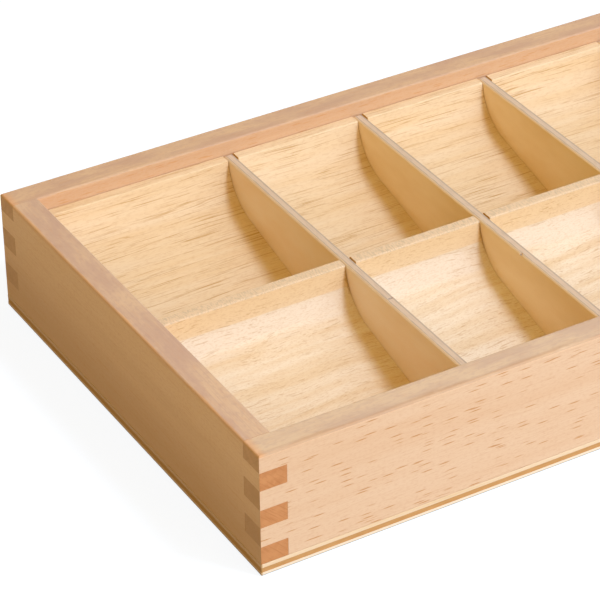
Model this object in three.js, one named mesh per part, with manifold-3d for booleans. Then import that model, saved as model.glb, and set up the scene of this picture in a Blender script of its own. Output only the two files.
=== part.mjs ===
// Sorting box for paper grammar symbols: a shallow finger-jointed beech frame on a plywood base,
// with plywood cross dividers and coved floor strips that make two rows of compartments.
// Millimetres, +Z up. The origin is the middle of the underside, with +X along the length
// and +Y towards the back.

import * as THREE from 'three';
import { mergeVertices } from 'three/addons/utils/BufferGeometryUtils.js';
import Module from 'manifold-3d';

// Frame and base
const BOX_LENGTH = 282;           // outside, along the columns
const BOX_DEPTH = 165;            // outside, front to back
const BOARD_THICKNESS = 9;
const BOARD_HEIGHT = 38;
const ARRIS_RADIUS = 0.8;         // eased top edges of the frame
const BASE_THICKNESS = 4.2;
const FINGER_HEIGHT = 6.1;        // each finger of an end board
const FINGER_PITCH = 13;          // from one finger of an end board to the next
const GLUE_LINE = 0.15;           // clearance in a glued joint

// Compartments
const ROWS = 2;
const WIDE_CLEAR = 66.6;          // clear width of the first column
const NARROW_COLUMNS = 4;         // these share the rest of the length
const DIVIDER_THICKNESS = 3.2;
const DIVIDER_CORNER = 1.2;       // rounded upper corners of a divider
const RIM_DROP = 5;               // from the rim down to the dividers and uprights

// Coved floor strips
const UPRIGHT_THICKNESS = 4;      // at the top of the strip's upright
const UPRIGHT_ARRIS = 0.5;        // eased top edges of the upright
const COVE_RADIUS = 18;
const COVE_LEAN = THREE.MathUtils.degToRad(8.5);  // the cove leaves the upright's edge this far off plumb
const FLOOR_LIP = 4;              // thickness of the floor where it ends at the front
const STRIP_END_GAP = 0.8;        // open gap at a strip's left end, beside its divider

// Facets in half of each arc
const CORNER_STEPS = 2;
const COVE_STEPS = 8;

const BEECH = new THREE.MeshStandardMaterial({ color: 0xe6bf98, roughness: 0.55, metalness: 0 });
const BASE_PLY = new THREE.MeshStandardMaterial({ color: 0xe0b885, roughness: 0.65, metalness: 0 });
const DIVIDER_PLY = new THREE.MeshStandardMaterial({ color: 0xd6a56a, roughness: 0.6, metalness: 0 });
const FLOOR_WOOD = new THREE.MeshStandardMaterial({ color: 0xf3d5a3, roughness: 0.5, metalness: 0 });

const INNER_LENGTH = BOX_LENGTH - 2 * BOARD_THICKNESS;
const INNER_DEPTH = BOX_DEPTH - 2 * BOARD_THICKNESS;
const NARROW_CLEAR = (INNER_LENGTH - WIDE_CLEAR) / NARROW_COLUMNS - DIVIDER_THICKNESS;
const COLUMN_WIDTHS = [WIDE_CLEAR, ...Array(NARROW_COLUMNS).fill(NARROW_CLEAR)];
const ROW_PITCH = INNER_DEPTH / ROWS;
const SEAT = BASE_THICKNESS + GLUE_LINE;          // underside of everything that stands on the base
const UPRIGHT_HEIGHT = BOARD_HEIGHT - RIM_DROP;   // dividers and uprights, from their seat to their top

const X = new THREE.Vector3(1, 0, 0);
const Y = new THREE.Vector3(0, 1, 0);
const Z = new THREE.Vector3(0, 0, 1);
const ALONG_X = new THREE.Matrix4().makeBasis(Y, Z, X);

const wasm = await Module();
wasm.setup();

// Extrudes an upright section by a length, centred, and lays it along X.
function extrudeAlongX(section, length, curveSegments) {
  const geometry = new THREE.ExtrudeGeometry(section, { depth: length, bevelEnabled: false, curveSegments });
  return geometry.translate(0, 0, -length / 2).applyMatrix4(ALONG_X);
}

function toSolid(geometry) {
  const bare = geometry.clone();
  bare.deleteAttribute('normal');
  bare.deleteAttribute('uv');
  const merged = mergeVertices(bare);
  return new wasm.Manifold(new wasm.Mesh({
    numProp: 3,
    vertProperties: merged.attributes.position.array,
    triVerts: Uint32Array.from(merged.index.array),
  }));
}

function toGeometry(solid) {
  const { vertProperties, triVerts } = solid.getMesh();
  const geometry = new THREE.BufferGeometry();
  geometry.setAttribute('position', new THREE.BufferAttribute(Float32Array.from(vertProperties), 3));
  geometry.setIndex(new THREE.BufferAttribute(Uint32Array.from(triVerts), 1));
  geometry.computeVertexNormals();
  return geometry;
}

function piece(name, geometry, material, x, y, z) {
  const mesh = new THREE.Mesh(geometry, material);
  mesh.name = name;
  mesh.position.set(x, y, z);
  return mesh;
}

function rectangle(length, depth) {
  const x = length / 2;
  const y = depth / 2;
  const outline = new THREE.Shape();
  outline.moveTo(-x, -y);
  outline.lineTo(x, -y);
  outline.lineTo(x, y);
  outline.lineTo(-x, y);
  outline.closePath();
  return outline;
}

// The glued-up frame as one ring, whose outer and inner top arrises are eased all the way round.
function easedRing() {
  const outline = rectangle(BOX_LENGTH, BOX_DEPTH);
  outline.holes.push(rectangle(INNER_LENGTH, INNER_DEPTH));
  const ring = new THREE.ExtrudeGeometry(outline, {
    depth: BOARD_HEIGHT,
    bevelThickness: ARRIS_RADIUS,
    bevelSize: ARRIS_RADIUS,
    bevelOffset: -ARRIS_RADIUS,
    bevelSegments: 2 * CORNER_STEPS,
  });
  return ring.translate(0, 0, -ARRIS_RADIUS);
}

// The heights that the end boards' fingers take at a corner, from the bottom up.
// The front and back boards have the spaces between and above them.
function endFingers() {
  const count = Math.floor((BOARD_HEIGHT - FINGER_HEIGHT) / FINGER_PITCH) + 1;
  return Array.from({ length: count }, (_, k) => ({
    low: k * FINGER_PITCH,
    high: k * FINGER_PITCH + FINGER_HEIGHT,
  }));
}

// A board of the frame along one axis, standing at x, y, with sockets for the other boards' fingers
// cut into both its ends.
function fingerBoard(name, axis, sockets, x, y) {
  const alongX = axis === 'x';
  const length = alongX ? BOX_LENGTH : BOX_DEPTH;
  const lying = (along, across, height) => new THREE.BoxGeometry(
    alongX ? along : across, alongX ? across : along, height);
  const reach = BOARD_THICKNESS + GLUE_LINE;
  const blank = lying(length, BOARD_THICKNESS, BOARD_HEIGHT).translate(0, 0, BOARD_HEIGHT / 2);
  let board = toSolid(blank).intersect(toSolid(easedRing().translate(-x, -y, 0)));
  for (const { low, high } of sockets) {
    for (const end of [-length / 2, length / 2]) {
      const socket = lying(2 * reach, 2 * BOARD_THICKNESS, high - low);
      socket.translate(alongX ? end : 0, alongX ? 0 : end, (low + high) / 2);
      board = board.subtract(toSolid(socket));
    }
  }
  return piece(name, toGeometry(board), BEECH, x, y, SEAT);
}

function makeFrame() {
  const fingers = endFingers();
  const sideSockets = fingers.map(({ low, high }) => ({ low: low - GLUE_LINE, high: high + GLUE_LINE }));
  const endSockets = fingers.map(({ high }, k) => ({
    low: high,
    high: k + 1 < fingers.length ? fingers[k + 1].low : BOARD_HEIGHT + FINGER_HEIGHT,
  }));
  const sideY = (BOX_DEPTH - BOARD_THICKNESS) / 2;
  const endX = (BOX_LENGTH - BOARD_THICKNESS) / 2;
  const frame = new THREE.Group();
  frame.add(fingerBoard('front_board', 'x', sideSockets, 0, -sideY));
  frame.add(fingerBoard('back_board', 'x', sideSockets, 0, sideY));
  frame.add(fingerBoard('left_end_board', 'y', endSockets, -endX, 0));
  frame.add(fingerBoard('right_end_board', 'y', endSockets, endX, 0));
  return frame;
}

function makeBase() {
  const panel = new THREE.BoxGeometry(BOX_LENGTH, BOX_DEPTH, BASE_THICKNESS);
  return piece('base_panel', panel, BASE_PLY, 0, 0, BASE_THICKNESS / 2);
}

// A divider is a plain rectangle of plywood whose upper corners are rounded off.
function dividerSection() {
  const end = INNER_DEPTH / 2 - GLUE_LINE;
  const inset = end - DIVIDER_CORNER;
  const shoulder = UPRIGHT_HEIGHT - DIVIDER_CORNER;
  const section = new THREE.Shape();
  section.moveTo(-end, 0);
  section.lineTo(end, 0);
  section.lineTo(end, shoulder);
  section.absarc(inset, shoulder, DIVIDER_CORNER, 0, Math.PI / 2, false);
  section.absarc(-inset, shoulder, DIVIDER_CORNER, Math.PI / 2, Math.PI, false);
  section.closePath();
  return section;
}

// A floor strip's section, from its front end at 0 to its back. The cove starts under the eased edge
// of the upright, and the sloping floor runs from the front lip to touch the cove without a crease.
function floorSection() {
  const back = ROW_PITCH - 2 * GLUE_LINE;
  const face = back - UPRIGHT_THICKNESS;
  const shoulder = UPRIGHT_HEIGHT - UPRIGHT_ARRIS;
  const centreY = face - COVE_RADIUS * Math.cos(COVE_LEAN);
  const centreZ = shoulder + COVE_RADIUS * Math.sin(COVE_LEAN);
  const rise = centreZ - FLOOR_LIP;
  const slope = Math.acos(COVE_RADIUS / Math.hypot(centreY, rise)) - Math.atan2(centreY, rise);
  const section = new THREE.Shape();
  section.moveTo(0, 0);
  section.lineTo(back, 0);
  section.lineTo(back, shoulder);
  section.absarc(back - UPRIGHT_ARRIS, shoulder, UPRIGHT_ARRIS, 0, Math.PI / 2, false);
  section.absarc(face + UPRIGHT_ARRIS, shoulder, UPRIGHT_ARRIS, Math.PI / 2, Math.PI, false);
  section.absarc(centreY, centreZ, COVE_RADIUS, -COVE_LEAN, slope - Math.PI / 2, true);
  section.lineTo(0, FLOOR_LIP);
  section.closePath();
  return section;
}

function makeInside() {
  const inside = new THREE.Group();
  const rowNames = ['front', 'back'];
  let left = -INNER_LENGTH / 2;
  COLUMN_WIDTHS.forEach((clear, column) => {
    const length = clear - STRIP_END_GAP - GLUE_LINE;
    const middle = left + STRIP_END_GAP + length / 2;
    for (let row = 0; row < ROWS; row += 1) {
      const strip = extrudeAlongX(floorSection(), length, COVE_STEPS);
      const front = row * ROW_PITCH - INNER_DEPTH / 2 + GLUE_LINE;
      inside.add(piece(`${rowNames[row]}_floor_${column + 1}`, strip, FLOOR_WOOD, middle, front, SEAT));
    }
    left += clear;
    if (column < COLUMN_WIDTHS.length - 1) {
      const divider = extrudeAlongX(dividerSection(), DIVIDER_THICKNESS, CORNER_STEPS);
      const centre = left + DIVIDER_THICKNESS / 2;
      inside.add(piece(`cross_divider_${column + 1}`, divider, DIVIDER_PLY, centre, 0, SEAT));
      left += DIVIDER_THICKNESS;
    }
  });
  return inside;
}

const box = new THREE.Group();
box.add(makeBase(), makeFrame(), makeInside());

export default box;
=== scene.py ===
from collections import namedtuple
import math

import bmesh
import bpy
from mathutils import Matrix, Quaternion, Vector


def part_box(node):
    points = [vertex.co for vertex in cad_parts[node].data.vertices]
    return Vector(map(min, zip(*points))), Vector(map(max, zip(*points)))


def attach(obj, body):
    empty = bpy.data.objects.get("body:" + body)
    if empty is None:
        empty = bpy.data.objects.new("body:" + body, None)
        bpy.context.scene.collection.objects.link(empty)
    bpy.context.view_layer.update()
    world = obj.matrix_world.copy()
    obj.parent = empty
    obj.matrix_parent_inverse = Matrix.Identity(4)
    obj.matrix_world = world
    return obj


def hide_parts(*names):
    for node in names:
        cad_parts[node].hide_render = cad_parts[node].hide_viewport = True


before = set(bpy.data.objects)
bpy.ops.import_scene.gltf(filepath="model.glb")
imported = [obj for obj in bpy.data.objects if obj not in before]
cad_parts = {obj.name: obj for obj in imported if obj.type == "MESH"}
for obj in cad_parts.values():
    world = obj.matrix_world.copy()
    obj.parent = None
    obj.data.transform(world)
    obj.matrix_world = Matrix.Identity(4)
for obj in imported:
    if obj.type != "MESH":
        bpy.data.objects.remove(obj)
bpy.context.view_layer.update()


# Base panel: a sheet of three-ply plywood, two pale face veneers on a brown core. It is sawn flush with
# the frame and glued under it, so its edge shows the three plies all round.
MM = 0.001
LOWER_VENEER = 1.4 * MM
UPPER_VENEER = 1.2 * MM
CORE_SETBACK = 0.05 * MM          # the core is sanded a hair deeper than the veneers
BASE_ARRIS = 0.12 * MM
FOOT_ARRIS = 0.4 * MM             # the lower edge is sanded rounder
FOOT_LINE = 0.7 * MM              # the painted shade along the foot ends at this height
SMOOTH_BELOW = math.radians(35)   # faces that meet more flatly than this are shaded as one surface

# A mark in the wood has a size along and across the grain in millimetres, detail, the rise of its figure
# over which a stain comes in, and how strongly the stain takes there.
Mark = namedtuple("Mark", "along across detail rise take", defaults=((0, 1), 1))
# The touch of a surface is its roughness, how much rougher its coarse places are, and its relief.
Touch = namedtuple("Touch", "rough rougher relief")
ALONG_X, ALONG_Y = 0, 1           # the axis that the grain follows
FIGURE_ROUGH = 0.55               # how strongly each finer detail of a figure shows
MIDDLE = 0.5                      # of a figure, which runs from 0 to 1
SWAY_LENGTH = 45 * MM             # over which swaying grain drifts to and fro
SPINDLE = (0.32, 0.12)            # from the outline of a fleck in to its full tone, in cells from its middle
SPECULAR = 0.35
LACQUER_ROUGH = 0.08
LACQUER_INDEX = 1.8
BASE_STRETCH = 3.1                # where in the endless figure the panel is cut
PLY_STREAKS = Mark(60, 1.4, 3, rise=(0.5, 0.75))
CORE_FIBRES = Mark(5, 0.5, 3)
BASE_TOUCH = Touch(0.55, 0.25, 0.04 * MM)
VENEER_PALE = "f6dfc0"
VENEER_STREAK = "ebcb9e"
# painted light: the lower veneer's edge is made paler to make up for the light it lacks near the floor
LOWER_PAINTED_PALE = "fff2de"
CORE_LIGHT = "e3b27a"
CORE_DARK = "bf8c52"
VENEER_END = ("c4a06c", 0.8)      # the left and right edges are stained by their end grain, this strongly
CORE_END = ("b8945e", 0.7)
# painted shade: a dark line along the foot where the box meets the floor
FOOT_PAINTED_SHADE = ("8c8074", 0.75)


def tone(code):
    """A paint code of red, green and blue in hex, as the linear colour of a socket, by the sRGB curve."""
    channels = [int(code[k:k + 2], 16) / 255 for k in (0, 2, 4)]
    return [c / 12.92 if c <= 0.04045 else ((c + 0.055) / 1.055) ** 2.4 for c in channels] + [1]


class Shade:
    """A value or colour on its way through a finish. Arithmetic on values adds Math nodes."""

    def __init__(self, finish, socket):
        self.finish = finish
        self.socket = socket

    def reckon(self, operation, first, second):
        return self.finish.node("ShaderNodeMath", {"operation": operation}, {0: first, 1: second})

    def __add__(self, other):
        return self.reckon("ADD", self, other)

    def __sub__(self, other):
        return self.reckon("SUBTRACT", self, other)

    def __rsub__(self, other):
        return self.reckon("SUBTRACT", other, self)

    def __mul__(self, other):
        return self.reckon("MULTIPLY", self, other)

    def __lt__(self, other):
        return self.reckon("LESS_THAN", self, other)

    def __gt__(self, other):
        return self.reckon("GREATER_THAN", self, other)

    __radd__ = __add__
    __rmul__ = __mul__

    def also(self, output):
        """Another output of the node that made this value."""
        return Shade(self.finish, self.socket.node.outputs[output])


class Finish:
    """A procedural finish. Wood lies along one axis of the box, and each piece has its own stretch of it."""

    def __init__(self, owner, grain=ALONG_X, stretch=0, sway=0):
        owner.use_nodes = True
        owner.node_tree.nodes.clear()
        self.owner = owner
        self.grain = grain
        self.stretch = stretch
        self.sway = sway

    def node(self, kind, settings=None, sockets=None, output=0):
        """Adds a node: its settings first, then the values or links of its sockets."""
        made = self.owner.node_tree.nodes.new(kind)
        for name, value in (settings or {}).items():
            setattr(made, name, value)
        for key, value in (sockets or {}).items():
            socket = [s for k, s in enumerate(made.inputs) if key in (k, s.identifier)][0]
            if isinstance(value, Shade):
                self.owner.node_tree.links.new(value.socket, socket)
            else:
                socket.default_value = value
        return Shade(self, made.outputs[output]) if made.outputs else None

    def mix(self, amount, first, second):
        """From the first colour to the second by an amount from 0 to 1."""
        settings = {"data_type": "RGBA", "clamp_factor": True}
        sockets = {"Factor_Float": amount, "A_Color": first, "B_Color": second}
        return self.node("ShaderNodeMix", settings, sockets, output=2)

    def lay(self, colour, where, code, take=1):
        """A tone laid over a colour where a mask says, as strongly as it takes."""
        return self.mix(where * take, colour, tone(code))

    def ease(self, value, start, end):
        """0 up to start, 1 from end on, and a smooth change between. The start may be the higher one."""
        sockets = {"Value": value, "From Min": start, "From Max": end}
        return self.node("ShaderNodeMapRange", {"interpolation_type": "SMOOTHSTEP"}, sockets)

    def between(self, value, start, end, soft):
        """1 from start to end, with both edges that soft."""
        return self.ease(value, start - soft, start + soft) * self.ease(value, end + soft, end - soft)

    def place(self):
        """Where a point lies in the frame of the box."""
        return self.node("ShaderNodeTexCoord", output="Object")

    def axes(self):
        """The same, as its three distances from the middle of the underside."""
        x = self.node("ShaderNodeSeparateXYZ", None, {"Vector": self.place()})
        return x, x.also("Y"), x.also("Z")

    def cells(self, along, across):
        """The same, counted in cells of that size along and across the grain, which may sway."""
        size = [across * MM] * 3
        size[self.grain] = along * MM
        place = self.place()
        if self.sway:
            sockets = {"Vector": place, "Scale": 1 / SWAY_LENGTH, "Detail": 1}
            drift = self.node("ShaderNodeTexNoise", None, sockets, output="Color")
            sockets = {0: drift, 1: [self.sway] * 3, 2: place}
            place = self.node("ShaderNodeVectorMath", {"operation": "MULTIPLY_ADD"}, sockets)
        sockets = {"Vector": place, "Location": [self.stretch] * 3, "Scale": [1 / s for s in size]}
        return self.node("ShaderNodeMapping", None, sockets)

    def figure(self, mark):
        """Soft wood figure of a mark's size, from 0 to 1, drawn out along the grain."""
        sockets = {"Vector": self.cells(mark.along, mark.across), "Scale": 1, "Detail": mark.detail,
                   "Roughness": FIGURE_ROUGH}
        return self.node("ShaderNodeTexNoise", None, sockets)

    def shown(self, mark):
        """A mask of the places where a mark's figure rises."""
        return self.ease(self.figure(mark), *mark.rise)

    def wander(self, mark, reach):
        """A figure that strays to both sides of 0, over that reach in all."""
        return (self.figure(mark) - MIDDLE) * reach

    def flecks(self, along, across, share):
        """A mask of single spindles, spread evenly, one in each of a share of the cells of that size."""
        spread = self.node("ShaderNodeTexVoronoi", None, {"Vector": self.cells(along, across), "Scale": 1})
        chance = self.node("ShaderNodeSeparateColor", None, {"Color": spread.also("Color")})
        return self.ease(spread, *SPINDLE) * (chance < share)

    def surface(self, colour, touch, height, coarse=0, lacquer=0):
        """The finished surface, rougher where it is coarse, and raised by a height from 0 to 1."""
        bump = self.node("ShaderNodeBump", None, {"Strength": 1, "Distance": touch.relief, "Height": height})
        sockets = {"Base Color": colour, "Roughness": touch.rough + coarse * touch.rougher, "Normal": bump,
                   "Specular IOR Level": SPECULAR, "Coat Weight": lacquer, "Coat Roughness": LACQUER_ROUGH,
                   "Coat IOR": LACQUER_INDEX}
        shader = self.node("ShaderNodeBsdfPrincipled", None, sockets)
        self.node("ShaderNodeOutputMaterial", None, {"Surface": shader})


def wood(name, grain, stretch, sway=0):
    """The finish of a new material, in wood with its grain along that axis."""
    return Finish(bpy.data.materials.new(name), grain, stretch, sway)


def stacked(rings):
    """A closed shape from rings of corners, each joined to the next, with the first and last capped."""
    shape = bmesh.new()
    loops = [[shape.verts.new(corner) for corner in ring] for ring in rings]
    for lower, upper in zip(loops, loops[1:]):
        for k, corner in enumerate(lower):
            n = (k + 1) % len(lower)
            shape.faces.new((corner, lower[n], upper[n], upper[k]))
    shape.faces.new(reversed(loops[0]))
    shape.faces.new(loops[-1])
    return shape


def stand_for(node, shape, slot, *finishes):
    """Makes a shape the piece that stands for a node of the box, in the given finishes."""
    bmesh.ops.recalc_face_normals(shape, faces=shape.faces)
    for edge in shape.edges:
        edge.smooth = edge.calc_face_angle(math.pi) < SMOOTH_BELOW
    mesh = bpy.data.meshes.new(node)
    shape.to_mesh(mesh)
    shape.free()
    mesh.polygons.foreach_set("use_smooth", [True] * len(mesh.polygons))
    for finish in finishes:
        mesh.materials.append(finish.owner)
    piece = bpy.data.objects.new(f"{node}_finished", mesh)
    bpy.context.scene.collection.objects.link(piece)
    piece.modifiers.new("flat faces stay flat", "WEIGHTED_NORMAL").keep_sharp = True
    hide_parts(node)
    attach(piece, "root")


def base_plies():
    """The panel as rings round its edge from the foot up, each drawn in as far as its ply is."""
    low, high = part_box("base_panel")
    core_low = low.z + LOWER_VENEER
    core_high = high.z - UPPER_VENEER
    levels = [(FOOT_ARRIS, low.z), (0, low.z + FOOT_ARRIS),
              (0, core_low), (CORE_SETBACK, core_low + CORE_SETBACK),
              (CORE_SETBACK, core_high - CORE_SETBACK), (0, core_high),
              (0, high.z - BASE_ARRIS), (BASE_ARRIS, high.z)]
    return stacked([[(low.x + i, low.y + i, z), (high.x - i, low.y + i, z),
                     (high.x - i, high.y - i, z), (low.x + i, high.y - i, z)] for i, z in levels])


def base_plywood():
    """Streaked veneers over a brown core, painted paler at the lower veneer's edge as painted light, with a
    painted shade along the foot.
    """
    ply = wood("base_plywood", ALONG_X, BASE_STRETCH)
    low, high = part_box("base_panel")
    x, y, level = ply.axes()
    wide = high.x - FOOT_ARRIS
    deep = high.y - FOOT_ARRIS
    ends = x * x > wide * wide
    edge = 1 - (x * x < wide * wide) * (y * y < deep * deep)
    core = (level > low.z + LOWER_VENEER) * (level < high.z - UPPER_VENEER)
    streaks = ply.figure(PLY_STREAKS)
    veneer = ply.lay(tone(VENEER_PALE), ply.ease(streaks, *PLY_STREAKS.rise), VENEER_STREAK)
    # painted light on the lower veneer's edge
    veneer = ply.lay(veneer, edge * (level < low.z + LOWER_VENEER), LOWER_PAINTED_PALE)
    veneer = ply.lay(veneer, ends, *VENEER_END)
    brown = ply.lay(tone(CORE_LIGHT), ply.figure(CORE_FIBRES), CORE_DARK)
    brown = ply.lay(brown, ends, *CORE_END)
    colour = ply.mix(core, veneer, brown)
    # painted shade along the foot
    colour = ply.lay(colour, edge * ply.ease(level, FOOT_LINE, FOOT_ARRIS), *FOOT_PAINTED_SHADE)
    ply.surface(colour, BASE_TOUCH, streaks, coarse=core)
    return ply


stand_for("base_panel", base_plies(), "base_plywood", base_plywood())


# Frame: four solid beech boards, planed and lightly oiled, with their top arrises eased. Three fingers
# at each end are glued between those of the next board, so squares of end grain show at the corners.
BEECH_ARRIS = 0.12 * MM
ARRIS_STEPS = 2
SHOULDER_CLOSED = 0.145 * MM      # glue that fills a joint at the end of a finger
FINGER_CLOSED = 0.072 * MM        # and each half of that between two fingers
JOINT_DEPTH = 1 * MM              # a face this far inside a board's outline lies in a finger joint
WELD = 0.001 * MM                 # points closer than this are one
FLAT = math.radians(1)            # and facets that meet more flatly than this are one face
SHARP = math.radians(40)          # edges sharper than this have their arrises eased
FACING = 0.7                      # share of a normal along an axis for its face to count as facing that way
LEVEL = 0.5                       # and for the rim, which goes on over most of the eased arris
PLANED, RIM, END_GRAIN = 0, 1, 2  # the finishes of a board

# A painted lean takes a board's face from its light tone at the top, painted light, towards its deep one at
# the foot, painted shade. The worn arris reaches that far down the face and in over the rim; on the end
# boards it is also a painted highlight.
END_BOARD = {"grain": ALONG_Y, "face": ("f8d6ac", "d6af7c"), "painted_lean": 0.5, "bands": 0.25, "flecks": 0.12,
             "rim": ("dcc2a8", "c4a79a"), "face_wear_and_highlight": ("e2b27c", 0.5), "rim_wear_and_highlight": ("e2b27c", 0.55),
             "down": 1.6 * MM, "in": 1.2 * MM}
BOARDS = {
    "front_board": {"grain": ALONG_X, "stretch": 0.0, "face": ("f4d8bc", "eac4a1"), "painted_lean": 0, "bands": 0.6,
                    "flecks": 0.9, "rim": ("dfcab1", "c9b1a2"), "face_wear_and_highlight": ("c39a74", 0.35),
                    "rim_wear_and_highlight": ("c39a74", 0.5), "down": 0.7 * MM, "in": 2.4 * MM},
    "back_board": {"grain": ALONG_X, "stretch": 7.3, "face": ("e2c5a8", "d7b393"), "painted_lean": 0, "bands": 1,
                   "flecks": 0.5, "rim": ("dcc0a2", "c6a694"), "face_wear_and_highlight": ("d0ab86", 0.35),
                   "rim_wear_and_highlight": ("d0ab86", 0.5), "down": 0.6 * MM, "in": 0.6 * MM},
    "left_end_board": {**END_BOARD, "stretch": 2.9},
    "right_end_board": {**END_BOARD, "stretch": 11.7},
}
FLECK_BROWN = "cd8f52"
FLECK_CELL = (9, 0.75)            # millimetres along and across the grain
FLECK_SHARE = 0.6
FLECK_SUNK = 0.6                  # how deep flecks lie, as a share of the relief
FIBRE_PROUD = 0.4                 # and how high fibres stand
BEECH_BANDS = Mark(220, 9, 4, rise=(0.2, 0.8))
BEECH_FIBRES = Mark(12, 0.4, 3, rise=(0.5, 0.8), take=0.28)
BEECH_SPECKLE = Mark(1.4, 0.5, 2, rise=(0.45, 0.7), take=0.16)
BEECH_TOUCH = Touch(0.5, 0.15, 0.05 * MM)
WORN_THROUGH = 0.24 * MM          # the arris band of wear and painted highlight is full this close to the edge
RAGGED = Mark(14, 2, 2)           # the edge of the wear and painted highlight
RAGGED_RIM = 2                    # is that many times more ragged on the rim
RIM_STRETCH = 0.5
RIM_BANDS = Mark(24, 6, 3, rise=(0.35, 0.65), take=0.7)
RIM_FIBRES = Mark(24, 0.45, 3, rise=(0.45, 0.75), take=0.5)
RIM_FUZZ = Mark(2.2, 1.0, 3, rise=(0.45, 0.7), take=0.45)
RIM_FLECKS = Mark(5, 0.7, 1, rise=(0.55, 0.7), take=0.1)
RIM_TOUCH = Touch(0.5, 0.2, 0.03 * MM)
CORNER_WORN = ("e6ac74", 0.55)    # the corners of the frame are sanded down to warmer wood
CORNER_WEAR = 3.5 * MM
END_TONES = {ALONG_X: ("dcb486", "cda578"), ALONG_Y: ("d59866", "bf7f4e")}
# towards the foot the front and back boards' end grain is painted darker, as shade; the end boards' goes to
# its light tone
END_FOOT_SHADE = {ALONG_X: ("b38a5c", 0.5), ALONG_Y: ("d59866", 0.5)}
END_RINGS = Mark(40, 2.5, 2, rise=(0.3, 0.7), take=0.6)
END_RAYS = Mark(9, 0.7, 2, rise=(0.5, 0.7), take=0.6)
END_TOUCH = Touch(0.65, 0, 0.05 * MM)


def welded_copy(node):
    """A copy of a node's solid with its facets joined into whole faces."""
    shape = bmesh.new()
    shape.from_mesh(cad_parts[node].data)
    bmesh.ops.remove_doubles(shape, verts=shape.verts, dist=WELD)
    bmesh.ops.dissolve_limit(shape, angle_limit=FLAT, verts=shape.verts, edges=shape.edges)
    return shape


def ease_arrises(shape, arris, spared):
    """Rounds the sharp edges of a shape, but not those of the spared faces."""
    sharp = [e for e in shape.edges if e.calc_face_angle(0) > SHARP and not set(e.link_faces) & set(spared)]
    bmesh.ops.bevel(shape, geom=sharp, offset=arris, offset_type="OFFSET", segments=ARRIS_STEPS, profile=0.5,
                    affect="EDGES", clamp_overlap=True, material=-1)


def jointed_board(node, grain):
    """The board with its finger joints glued up tight and its other arrises eased."""
    shape = welded_copy(node)
    low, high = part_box(node)
    joints = []
    for face in shape.faces:
        facing = max(range(3), key=lambda axis: abs(face.normal[axis]))
        middle = face.calc_center_median()[facing]
        if low[facing] + JOINT_DEPTH < middle < high[facing] - JOINT_DEPTH:
            joints.append(face)
        if abs(face.normal[grain]) > FACING:
            face.material_index = END_GRAIN
        else:
            face.material_index = RIM if face.normal.z > LEVEL else PLANED
    pushes = []
    for face in joints:
        closed = SHOULDER_CLOSED if abs(face.normal[grain]) > FACING else FINGER_CLOSED
        pushes += [(corner, face.normal * closed) for corner in face.verts]
    for corner, push in pushes:
        corner.co += push
    ease_arrises(shape, BEECH_ARRIS, joints)
    return shape


def outer_edge(board, node):
    """How far a point lies outward from the middle of its board, and how far the outer face does."""
    low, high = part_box(node)
    across = 1 - board.grain
    middle = (low[across] + high[across]) / 2
    outward = board.axes()[across] * math.copysign(1, middle)
    return outward - abs(middle), (high[across] - low[across]) / 2


def planed_beech(node):
    """A board's faces, banded and flecked along the grain, painted lighter at the top and darker at the foot
    as light and shade, with the outer face worn along the top, on the end boards also a painted highlight.
    """
    look = BOARDS[node]
    board = wood(f"{node}_beech", look["grain"], look["stretch"])
    light, deep = look["face"]
    foot, top = [corner.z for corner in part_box(node)]
    level = board.axes()[2]
    # painted light and shade: lighter towards the top, darker towards the foot
    painted_lean = (MIDDLE - board.ease(level, foot, top)) * look["painted_lean"]
    bands = board.wander(BEECH_BANDS, look["bands"]) + MIDDLE
    fibres = board.figure(BEECH_FIBRES)
    flecks = board.flecks(*FLECK_CELL, FLECK_SHARE)
    colour = board.lay(tone(light), board.ease(bands + painted_lean, *BEECH_BANDS.rise), deep)
    colour = board.lay(colour, board.ease(fibres, *BEECH_FIBRES.rise), FLECK_BROWN, BEECH_FIBRES.take)
    colour = board.lay(colour, board.shown(BEECH_SPECKLE), FLECK_BROWN, BEECH_SPECKLE.take)
    colour = board.lay(colour, flecks, FLECK_BROWN, look["flecks"])
    outside = outer_edge(board, node)[0] > 0
    ragged = board.wander(RAGGED, look["down"])
    # wear along the top of the outer face; on the end boards the orange band is also a painted highlight of
    # a rounder arris
    wear_and_highlight = board.ease(level + ragged, top - look["down"], top - WORN_THROUGH)
    colour = board.lay(colour, wear_and_highlight * outside, *look["face_wear_and_highlight"])
    board.surface(colour, BEECH_TOUCH, fibres * FIBRE_PROUD - flecks * FLECK_SUNK, coarse=fibres)
    return board


def rim_beech(node):
    """A board's top, sanded to a mottled grey, warmer along the outer arris, worn and on the end boards also
    a painted highlight, and at the frame's corners.
    """
    look = BOARDS[node]
    rim = wood(f"{node}_rim", look["grain"], look["stretch"] + RIM_STRETCH)
    pale, grey = look["rim"]
    fibres = rim.figure(RIM_FIBRES)
    colour = rim.lay(tone(pale), rim.shown(RIM_BANDS), grey, RIM_BANDS.take)
    colour = rim.lay(colour, rim.ease(fibres, *RIM_FIBRES.rise), grey, RIM_FIBRES.take)
    colour = rim.lay(colour, rim.shown(RIM_FUZZ), grey, RIM_FUZZ.take)
    colour = rim.lay(colour, rim.shown(RIM_FLECKS), FLECK_BROWN, RIM_FLECKS.take)
    outward, half = outer_edge(rim, node)
    ragged = rim.wander(RAGGED, RAGGED_RIM * look["in"])
    # wear along the rim's outer arris; on the end boards partly a painted highlight
    wear_and_highlight = rim.ease(outward + ragged, half - look["in"], half - WORN_THROUGH)
    colour = rim.lay(colour, wear_and_highlight, *look["rim_wear_and_highlight"])
    if look["grain"] == ALONG_X:
        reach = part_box(node)[1].x
        x = rim.axes()[0]
        corners = rim.ease(x * x, (reach - CORNER_WEAR) * (reach - CORNER_WEAR), reach * reach)
        colour = rim.lay(colour, corners, *CORNER_WORN)
    rim.surface(colour, RIM_TOUCH, fibres, coarse=fibres)
    return rim


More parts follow.
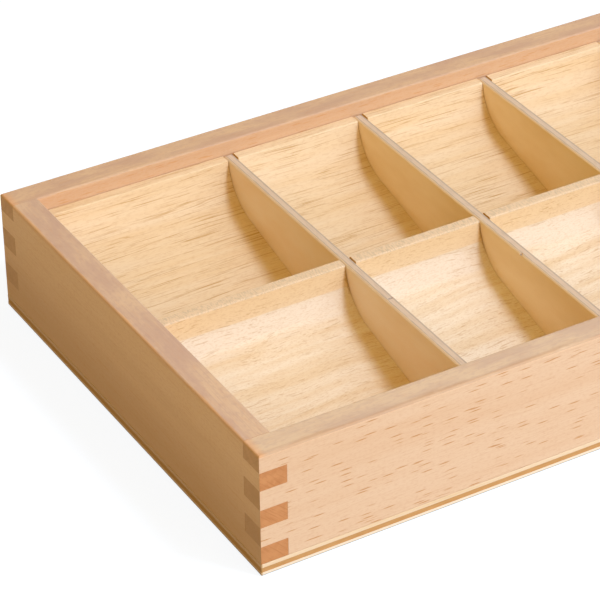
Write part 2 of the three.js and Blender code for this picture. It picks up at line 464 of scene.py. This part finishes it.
def end_beech(node):
    """The end grain of a board's fingers, with rings, slanted rays and a second tone towards the foot, a
    painted shade on the front and back boards.
    """
    grain = BOARDS[node]["grain"]
    stretch = BOARDS[node]["stretch"]
    end = wood(f"{node}_end_grain", grain, stretch)
    light, dark = END_TONES[grain]
    foot, top = [corner.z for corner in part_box(node)]
    x, y, z = end.axes()
    side = y if grain == ALONG_X else x
    slant = {"X": (side + z) * (1 / (END_RAYS.across * MM)), "Y": (side - z) * (1 / (END_RAYS.along * MM)),
             "Z": stretch}
    slanted = end.node("ShaderNodeCombineXYZ", None, slant)
    rays = end.node("ShaderNodeTexNoise", None, {"Vector": slanted, "Scale": 1, "Detail": END_RAYS.detail})
    colour = end.lay(tone(light), end.shown(END_RINGS), dark, END_RINGS.take)
    # darker towards the foot: painted shade
    colour = end.lay(colour, end.ease(z, top, foot), *END_FOOT_SHADE[grain])
    colour = end.lay(colour, end.ease(rays, *END_RAYS.rise), dark, END_RAYS.take)
    end.surface(colour, END_TOUCH, rays)
    return end


for node, look in BOARDS.items():
    stand_for(node, jointed_board(node, look["grain"]), "beech", planed_beech(node), rim_beech(node),
              end_beech(node))


# Floor strips: pale, open-pored wood milled with a cove that rises to an upright at the back. Each is cut
# to its compartment and glued on the base. The front row has a satin lacquer, the back row is left bare.
COLUMNS = 5
COLUMN_STRETCH = 5.3              # between the stretches of wood of one strip and the next
STRIP_ARRIS = 0.25 * MM
UPRIGHT_ARRIS = 0.5 * MM          # the land and its eased edges lie above this depth
STRIP_CLOSE = 0.13 * MM           # how far a strip's foot leans over to its neighbour on the right
STRIP_REACH = 0.75 * MM           # how far its rough left end reaches into the gap beside it
TORN_REACH = 0.2 * MM             # and less at the land, where the saw has torn a notch
TORN_DEEP = 2 * MM
MILLED, LAND, SAWN_END = 0, 1, 2  # the finishes of a strip
ROWS = {
    "front": {"stretch": 5, "sway": 9 * MM, "pale": "f5ead6", "warm": "e9d3b0", "lines": 0.12,
              "lacquer": 0.25,
              "pores": Mark(5, 0.45, 1, rise=(0.58, 0.72), take=0.45),
              "mottle": Mark(1.0, 0.4, 2, rise=(0.45, 0.75), take=0.25)},
    "back": {"stretch": 4, "sway": 2 * MM, "pale": "efddc0", "warm": "ead2ac", "lines": 0.5,
             "lacquer": 0,
             "pores": Mark(22, 0.33, 1, rise=(0.58, 0.72), take=0.75),
             "mottle": Mark(1.8, 0.6, 2, rise=(0.45, 0.75), take=0.2)},
}
PORE_BROWN = "c0944f"
PORE_PATCHES = Mark(40, 9, 2, rise=(0.3, 0.55))
STRIP_BANDS = Mark(130, 4, 3, rise=(0.3, 0.75))
STRIP_FIBRES = Mark(22, 0.4, 3, rise=(0.5, 0.85), take=0.15)
RING_LINES = Mark(90, 2.4, 2, rise=(0.49, 0.51))
LINE_SOFT = 0.012                 # blur of the ring lines, in heights of their figure
LINE_PATCHES = Mark(30, 4, 1, rise=(0.45, 0.6))
STRIP_TOUCH = Touch(0.5, 0.1, 0.04 * MM)
HIGHLIGHT_BAND = "efe3d0"                # a painted highlight, a pale band, runs along the front coves
HIGHLIGHT_BOTTOM = 25.4 * MM
HIGHLIGHT_BOTTOM_SOFT = 1 * MM
HIGHLIGHT_BOTTOM_EDGE = Mark(60, 5, 2)
HIGHLIGHT_BOTTOM_STRAY = 6 * MM            # its lower edge strays over this height
ABOVE_HIGHLIGHT = "ecd5b0"              # with warmer wood above it, which gives the painted highlight a crisp upper edge
HIGHLIGHT_TOP = 30.8 * MM
HIGHLIGHT_TOP_SOFT = 0.5 * MM
HIGHLIGHT_TOP_STRAY = 1 * MM
TORN_EDGE = 0.9 * MM              # torn fibres at the top of a front strip's right end, painted dark as the shade in the gap at the divider, come in over this height
TORN_HEIGHT = 4 * MM              # come in over this height
TORN_CHIPS = Mark(0.9, 0.9, 2)
TORN_STRAY = 1.44 * MM
TORN_AND_SHADE_UMBER = ("b08844", 0.7)
LAND_PALE = "ebd6bb"
LAND_GREY = "d5c4ab"
LAND_FUZZ = Mark(1.6, 0.5, 3, rise=(0.4, 0.65))
LAND_PATCHES = Mark(4, 14, 2, rise=(0.45, 0.7), take=0.5)
LAND_TOUCH = Touch(0.75, 0, 0.05 * MM)
SAWN_BROWN = "dcae62"
SAWN_UMBER = "b08844"
SAWN_TEARS = Mark(1.2, 0.5, 3)
SAWN_TOUCH = Touch(0.8, 0, 0.1 * MM)


def milled_strip(node, row):
    """The strip with its arrises eased, its right end set close and its left end torn back at the land."""
    shape = welded_copy(node)
    low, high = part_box(node)
    for face in shape.faces:
        on_land = row == "front" and face.calc_center_median().z > high.z - UPRIGHT_ARRIS
        if abs(face.normal.x) > FACING:
            face.material_index = SAWN_END
        else:
            face.material_index = LAND if on_land else MILLED
    ease_arrises(shape, STRIP_ARRIS, [face for face in shape.faces if face.normal.x > FACING])
    tear = high.z - TORN_DEEP
    everything = [*shape.verts, *shape.edges, *shape.faces]
    bmesh.ops.bisect_plane(shape, geom=everything, dist=WELD, plane_co=(0, 0, tear), plane_no=(0, 0, 1))
    for corner in shape.verts:
        if corner.co.x > high.x - WELD:
            corner.co.x += STRIP_CLOSE * (high.z - corner.co.z) / (high.z - low.z)
        elif corner.co.x < low.x + STRIP_ARRIS + WELD:
            torn = max(0, corner.co.z - tear) / TORN_DEEP
            corner.co.x -= STRIP_REACH + (TORN_REACH - STRIP_REACH) * torn
    return shape


def milled_wood(node, row, stretch):
    """A strip's cove and upright, with pores and ring lines, and in the front row a painted highlight along
    the cove with warmer wood above it.
    """
    look = ROWS[row]
    strip = wood(f"{node}_wood", ALONG_X, stretch, look["sway"])
    x, _, z = strip.axes()
    bands = strip.figure(STRIP_BANDS)
    fibres = strip.figure(STRIP_FIBRES)
    pores = strip.shown(look["pores"]) * strip.shown(PORE_PATCHES)
    lines = strip.between(strip.figure(RING_LINES), *RING_LINES.rise, LINE_SOFT) * strip.shown(LINE_PATCHES)
    colour = strip.lay(tone(look["pale"]), strip.ease(bands, *STRIP_BANDS.rise), look["warm"])
    # painted highlight: a pale band along the front cove, with warmer wood above its crisp upper edge
    if row == "front":
        low_edge = z + strip.wander(HIGHLIGHT_BOTTOM_EDGE, HIGHLIGHT_BOTTOM_STRAY)
        top_edge = z + (bands - MIDDLE) * HIGHLIGHT_TOP_STRAY
        pale = strip.ease(low_edge, HIGHLIGHT_BOTTOM - HIGHLIGHT_BOTTOM_SOFT, HIGHLIGHT_BOTTOM + HIGHLIGHT_BOTTOM_SOFT)
        warm = strip.ease(top_edge, HIGHLIGHT_TOP, HIGHLIGHT_TOP + HIGHLIGHT_TOP_SOFT)
        colour = strip.lay(colour, pale, HIGHLIGHT_BAND)
        colour = strip.lay(colour, warm, ABOVE_HIGHLIGHT)
    colour = strip.lay(colour, strip.ease(fibres, *STRIP_FIBRES.rise), PORE_BROWN, STRIP_FIBRES.take)
    colour = strip.lay(colour, strip.shown(look["mottle"]), PORE_BROWN, look["mottle"].take)
    colour = strip.lay(colour, pores, PORE_BROWN, look["pores"].take)
    colour = strip.lay(colour, lines, PORE_BROWN, look["lines"])
    # torn fibres beside the divider, painted darker as the shade in the gap there
    if row == "front":
        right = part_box(node)[1].x
        torn = strip.ease(x + strip.wander(TORN_CHIPS, TORN_STRAY), right - TORN_EDGE, right)
        high_up = strip.ease(z, HIGHLIGHT_TOP - TORN_HEIGHT, HIGHLIGHT_TOP)
        colour = strip.lay(colour, torn * high_up, *TORN_AND_SHADE_UMBER)
    strip.surface(colour, STRIP_TOUCH, 1 - pores, coarse=fibres, lacquer=look["lacquer"])
    return strip


def sawn_land(node, stretch):
    """The narrow top of an upright, left fuzzy and grey from the saw."""
    land = wood(f"{node}_land", ALONG_Y, stretch)
    fuzz = land.figure(LAND_FUZZ)
    colour = land.lay(tone(LAND_PALE), land.ease(fuzz, *LAND_FUZZ.rise), LAND_GREY)
    colour = land.lay(colour, land.shown(LAND_PATCHES), LAND_PALE, LAND_PATCHES.take)
    land.surface(colour, LAND_TOUCH, fuzz)
    return land


def sawn_end(node, stretch):
    """A strip's rough end, brown with torn grain."""
    end = wood(f"{node}_end", ALONG_Y, stretch)
    tears = end.figure(SAWN_TEARS)
    end.surface(end.lay(tone(SAWN_BROWN), tears, SAWN_UMBER), SAWN_TOUCH, tears)
    return end


for row, look in ROWS.items():
    for column in range(1, COLUMNS + 1):
        node = f"{row}_floor_{column}"
        stretch = COLUMN_STRETCH * column + look["stretch"]
        stand_for(node, milled_strip(node, row), "floor_wood", milled_wood(node, row, stretch),
                  sawn_land(node, stretch), sawn_end(node, stretch))


# Cross dividers: thin three-ply plywood from the front board to the back board, rounded at the upper ends.
# The left veneer is sanded over at the top, and the sawn edge shows the glue line and the pale core.
DIVIDERS = 4
DIVIDER_STRETCH = 4.7             # between the stretches of wood of one divider and the next
DIVIDER_CORNER = 1.2 * MM
CORNER_STEPS = 5
QUARTER_TURN = [math.pi / 2 * k / CORNER_STEPS for k in range(CORNER_STEPS + 1)]
SANDED_OVER = 0.6 * MM            # radius worn on the left veneer's top
RIGHT_ARRIS = 0.15 * MM
GLUE_AT = 0.8 * MM                # from the left face to the glue line of the left veneer
GLUE_WIDE = 0.22 * MM
CORE_ENDS = 2.45 * MM             # from the left face to the right veneer
GROOVE = 0.03 * MM                # depth of the glue lines
FACED, SAWN_EDGE = 0, 1           # the finishes of a divider
FLAWS = {                         # a gap in the core of the first, and a chip in the second's left veneer
    "cross_divider_1": {"y": -26.9 * MM, "wide": 0.9 * MM, "deep": 1.1 * MM, "span": (1.3 * MM, 3.1 * MM)},
    "cross_divider_2": {"y": -26.8 * MM, "wide": 1.2 * MM, "deep": 0.7 * MM, "span": (0.1 * MM, 0.9 * MM)},
}
NO_FLAW = {"y": 0, "wide": 1 * MM, "deep": 0, "span": (0, 0)}
FLAW_STAINED = 2 / 3              # share of a flaw's width that glue has stained
DIVIDER_TONES = ("f5e1c1", "edd5ad")
FIRST_TONES = ("f0e3d7", "ecd9c5")  # the first divider is cut from a greyer sheet
FIBRE_TAN = "edd5ad"
FACE_BANDS = Mark(30, 12, 3, rise=(0.3, 0.7))
FACE_FIBRES = Mark(14, 0.5, 3, rise=(0.5, 0.8), take=0.2)
FACE_TOUCH = Touch(0.55, 0.1, 0.03 * MM)
VENEER_EDGE = "dcc4a2"
CORE_PALE = "dac9b8"
CORE_SOFT = (0.1 * MM, 0.25 * MM)   # the core's tone comes in from before the glue line to behind it
RIGHT_GREY = "b4a79e"
RIGHT_TAKE = 0.7
GLUE_STAIN = ("a5968a", 0.8)
GLUE_SOFT = 0.1 * MM
GLUE_BREAKS = (0.3, 0.5)            # the glue line is broken where the fibres rise less than this
SEAM_STRAY = Mark(3, 0.9, 3)
SEAM_REACH = 0.9 * MM               # the veneer's tone strays over this width,
GLUE_FOLLOWS = 0.3                  # and the glue lines over a share of it
EDGE_FIBRES = Mark(5, 0.35, 3, rise=(0.45, 0.75), take=0.45)
EDGE_TOUCH = Touch(0.7, 0, 0.05 * MM)


def divider_ring(node, x, inset):
    """The divider's outline at one depth of the plies, drawn in at the top, with its flaw if it has one."""
    low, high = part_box(node)
    flaw = FLAWS.get(node, NO_FLAW)
    first, last = flaw["span"]
    notch = flaw["deep"] if first <= x - low.x <= last else 0
    reach = flaw["wide"] / 2
    top = high.z - inset
    radius = DIVIDER_CORNER
    front = [(low.y + radius * (1 - math.cos(a)), top - radius * (1 - math.sin(a))) for a in QUARTER_TURN]
    back = [(high.y - radius * (1 - math.sin(a)), top - radius * (1 - math.cos(a))) for a in QUARTER_TURN]
    middle = [(flaw["y"] - reach, top), (flaw["y"], top - notch), (flaw["y"] + reach, top)]
    return [(x, y, z) for y, z in [(high.y, low.z), (low.y, low.z), *front, *middle, *back]]


def divider_plies(node):
    """The divider as outlines from its left face to its right, with a groove at each glue line."""
    low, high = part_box(node)
    levels = [(SANDED_OVER * (1 - math.cos(a)), SANDED_OVER * (1 - math.sin(a))) for a in QUARTER_TURN]
    for seam in (GLUE_AT, CORE_ENDS):
        levels += [(seam, 0), (seam + GLUE_WIDE / 2, GROOVE), (seam + GLUE_WIDE, 0)]
    thick = high.x - low.x
    levels += [(thick - RIGHT_ARRIS, 0), (thick, RIGHT_ARRIS)]
    shape = stacked([divider_ring(node, low.x + x, inset) for x, inset in levels])
    for face in shape.faces:
        face.normal_update()
        face.material_index = SAWN_EDGE if abs(face.normal.x) < FACING else FACED
    return shape


def divider_face(node, stretch):
    """The face veneers, in broad bands with fine fibres."""
    ply = wood(f"{node}_face", ALONG_Y, stretch)
    tan, deep = FIRST_TONES if node == "cross_divider_1" else DIVIDER_TONES
    fibres = ply.figure(FACE_FIBRES)
    colour = ply.lay(tone(tan), ply.shown(FACE_BANDS), deep)
    colour = ply.lay(colour, ply.ease(fibres, *FACE_FIBRES.rise), FIBRE_TAN, FACE_FIBRES.take)
    ply.surface(colour, FACE_TOUCH, fibres, coarse=fibres)
    return ply


def divider_edge(node, stretch):
    """The sawn edge: the left veneer, a broken glue line, the pale core and the grey right veneer."""
    edge = wood(f"{node}_edge", ALONG_Y, stretch)
    fibres = edge.figure(EDGE_FIBRES)
    stray = edge.wander(SEAM_STRAY, SEAM_REACH)
    x, y, _ = edge.axes()
    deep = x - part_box(node)[0].x
    seam = deep + stray * GLUE_FOLLOWS
    before, behind = CORE_SOFT
    core = edge.ease(deep + stray, GLUE_AT - before, GLUE_AT + behind)
    glue = edge.between(seam, GLUE_AT, GLUE_AT + GLUE_WIDE, GLUE_SOFT) * edge.ease(fibres, *GLUE_BREAKS)
    right = edge.ease(seam, CORE_ENDS, CORE_ENDS + GLUE_WIDE)
    colour = edge.lay(tone(VENEER_EDGE), core, CORE_PALE)
    colour = edge.lay(colour, right, RIGHT_GREY, RIGHT_TAKE)
    colour = edge.lay(colour, glue, *GLUE_STAIN)
    colour = edge.lay(colour, edge.ease(fibres, *EDGE_FIBRES.rise), RIGHT_GREY, EDGE_FIBRES.take)
    if node in FLAWS:
        flaw = FLAWS[node]
        reach = flaw["wide"] / 2 * FLAW_STAINED
        broken = edge.between(y, flaw["y"] - reach, flaw["y"] + reach, GLUE_SOFT)
        broken = broken * edge.between(deep, *flaw["span"], GLUE_SOFT)
        colour = edge.lay(colour, broken, *GLUE_STAIN)
    edge.surface(colour, EDGE_TOUCH, fibres)
    return edge


for number in range(1, DIVIDERS + 1):
    node = f"cross_divider_{number}"
    stretch = DIVIDER_STRETCH * number
    stand_for(node, divider_plies(node), "divider_plywood", divider_face(node, stretch),
              divider_edge(node, stretch))


# Studio: a plain pale floor that looks white, a key light high at the front right with two wide softboxes
# and a low card below it, an amber card on the left and a warm fill. The camera looks down on the left
# front corner.
FLOOR_REACH = 6.0                 # metres
FLOOR_SIDES = 96
FLOOR_PALE = "8a929b"
FLOOR_GLOW = 0.92
GLOW_COOL = "f3f8ff"
WARM_FILL = "ffd35a"
FILL_LEVEL = 0.42
SKY_WHITE = "ffffff"
SOFTBOXES = {                     # angles in degrees right of the front and above the floor, sizes in metres
    "key": {"azimuth": 31, "elevation": 58, "away": 1.4, "size": (0.28, 0.28), "watts": 11.8,
            "colour": "dce6ff", "mirrored": False},
    "low softbox": {"azimuth": 31, "elevation": 29.5, "away": 1.3, "size": (1.2, 0.34), "watts": 2.6,
                    "colour": "f6faff", "mirrored": True},
    "upper softbox": {"azimuth": 40, "elevation": 49, "away": 1.3, "size": (0.9, 0.6), "watts": 2.4,
                      "colour": "f6faff", "mirrored": True},
    "front card": {"azimuth": 5, "elevation": 5, "away": 1.3, "size": (0.9, 0.3), "watts": 5.8,
                   "colour": "ffffff", "mirrored": False},
    "amber card": {"azimuth": -80, "elevation": 40, "away": 1.2, "size": (0.9, 0.5), "watts": 1.85,
                   "colour": "ffc274", "mirrored": False},
}
AIM = Vector((-81.6, -3.8, 30.0)) * MM
CAMERA_AWAY = 941 * MM
CAMERA_AZIMUTH = math.radians(-30.01)     # left of the front
CAMERA_ELEVATION = math.radians(33.40)
CAMERA_ROLL = math.radians(-0.806)
CAMERA_LENS = 184.0                       # millimetres


def towards(azimuth, elevation):
    """The direction from the box to something at that angle right of its front and above its floor."""
    level = math.cos(elevation)
    return Vector((math.sin(azimuth) * level, -math.cos(azimuth) * level, math.sin(elevation)))


def white_to_the_eye(finish):
    """1 for what the camera sees itself or in a reflection, 0 for the light that falls on the box."""
    path = finish.node("ShaderNodeLightPath", output="Is Camera Ray")
    return path + path.also("Is Glossy Ray") + path.also("Is Transmission Ray")


def studio_floor():
    """A matt floor that keeps the shadow and glows white to the eye."""
    shape = bmesh.new()
    bmesh.ops.create_circle(shape, cap_ends=True, radius=FLOOR_REACH, segments=FLOOR_SIDES)
    mesh = bpy.data.meshes.new("studio_floor")
    shape.to_mesh(mesh)
    shape.free()
    pale = Finish(bpy.data.materials.new("studio_floor"))
    matt = pale.node("ShaderNodeBsdfDiffuse", None, {"Color": tone(FLOOR_PALE)})
    glow = pale.node("ShaderNodeEmission", None, {"Color": tone(GLOW_COOL), "Strength": FLOOR_GLOW})
    both = pale.node("ShaderNodeAddShader", None, {0: matt, 1: glow})
    seen = pale.node("ShaderNodeMixShader", None, {0: white_to_the_eye(pale), 1: matt, 2: both})
    pale.node("ShaderNodeOutputMaterial", None, {"Surface": seen})
    mesh.materials.append(pale.owner)
    floor = bpy.data.objects.new("studio_floor", mesh)
    bpy.context.scene.collection.objects.link(floor)


def studio_light():
    """A warm fill from all round that looks white to the eye, and the softboxes, turned to the box."""
    world = bpy.data.worlds.new("studio")
    bpy.context.scene.world = world
    sky = Finish(world)
    fill = sky.node("ShaderNodeBackground", None, {"Color": tone(WARM_FILL), "Strength": FILL_LEVEL})
    white = sky.node("ShaderNodeBackground", None, {"Color": tone(SKY_WHITE), "Strength": 1})
    seen = sky.node("ShaderNodeMixShader", None, {0: white_to_the_eye(sky), 1: fill, 2: white})
    sky.node("ShaderNodeOutputWorld", None, {"Surface": seen})
    for name, box in SOFTBOXES.items():
        lamp = bpy.data.lights.new(name, "AREA")
        lamp.shape = "RECTANGLE"
        lamp.size, lamp.size_y = box["size"]
        lamp.energy = box["watts"]
        lamp.color = tone(box["colour"])[:3]
        softbox = bpy.data.objects.new(name, lamp)
        softbox.visible_glossy = box["mirrored"]
        back = towards(math.radians(box["azimuth"]), math.radians(box["elevation"]))
        softbox.location = back * box["away"]
        softbox.rotation_mode = "QUATERNION"
        softbox.rotation_quaternion = (-back).to_track_quat("-Z", "Y")
        bpy.context.scene.collection.objects.link(softbox)


def studio_camera():
    """The camera, turned to its aim and rolled a little."""
    lens = bpy.data.cameras.new("studio camera")
    lens.lens = CAMERA_LENS
    camera = bpy.data.objects.new("studio camera", lens)
    back = towards(CAMERA_AZIMUTH, CAMERA_ELEVATION)
    camera.location = AIM + back * CAMERA_AWAY
    camera.rotation_mode = "QUATERNION"
    camera.rotation_quaternion = (-back).to_track_quat("-Z", "Y") @ Quaternion((0, 0, 1), CAMERA_ROLL)
    bpy.context.scene.collection.objects.link(camera)
    bpy.context.scene.camera = camera


studio_floor()
studio_light()
studio_camera()
bpy.context.scene.view_settings.view_transform = "Standard"
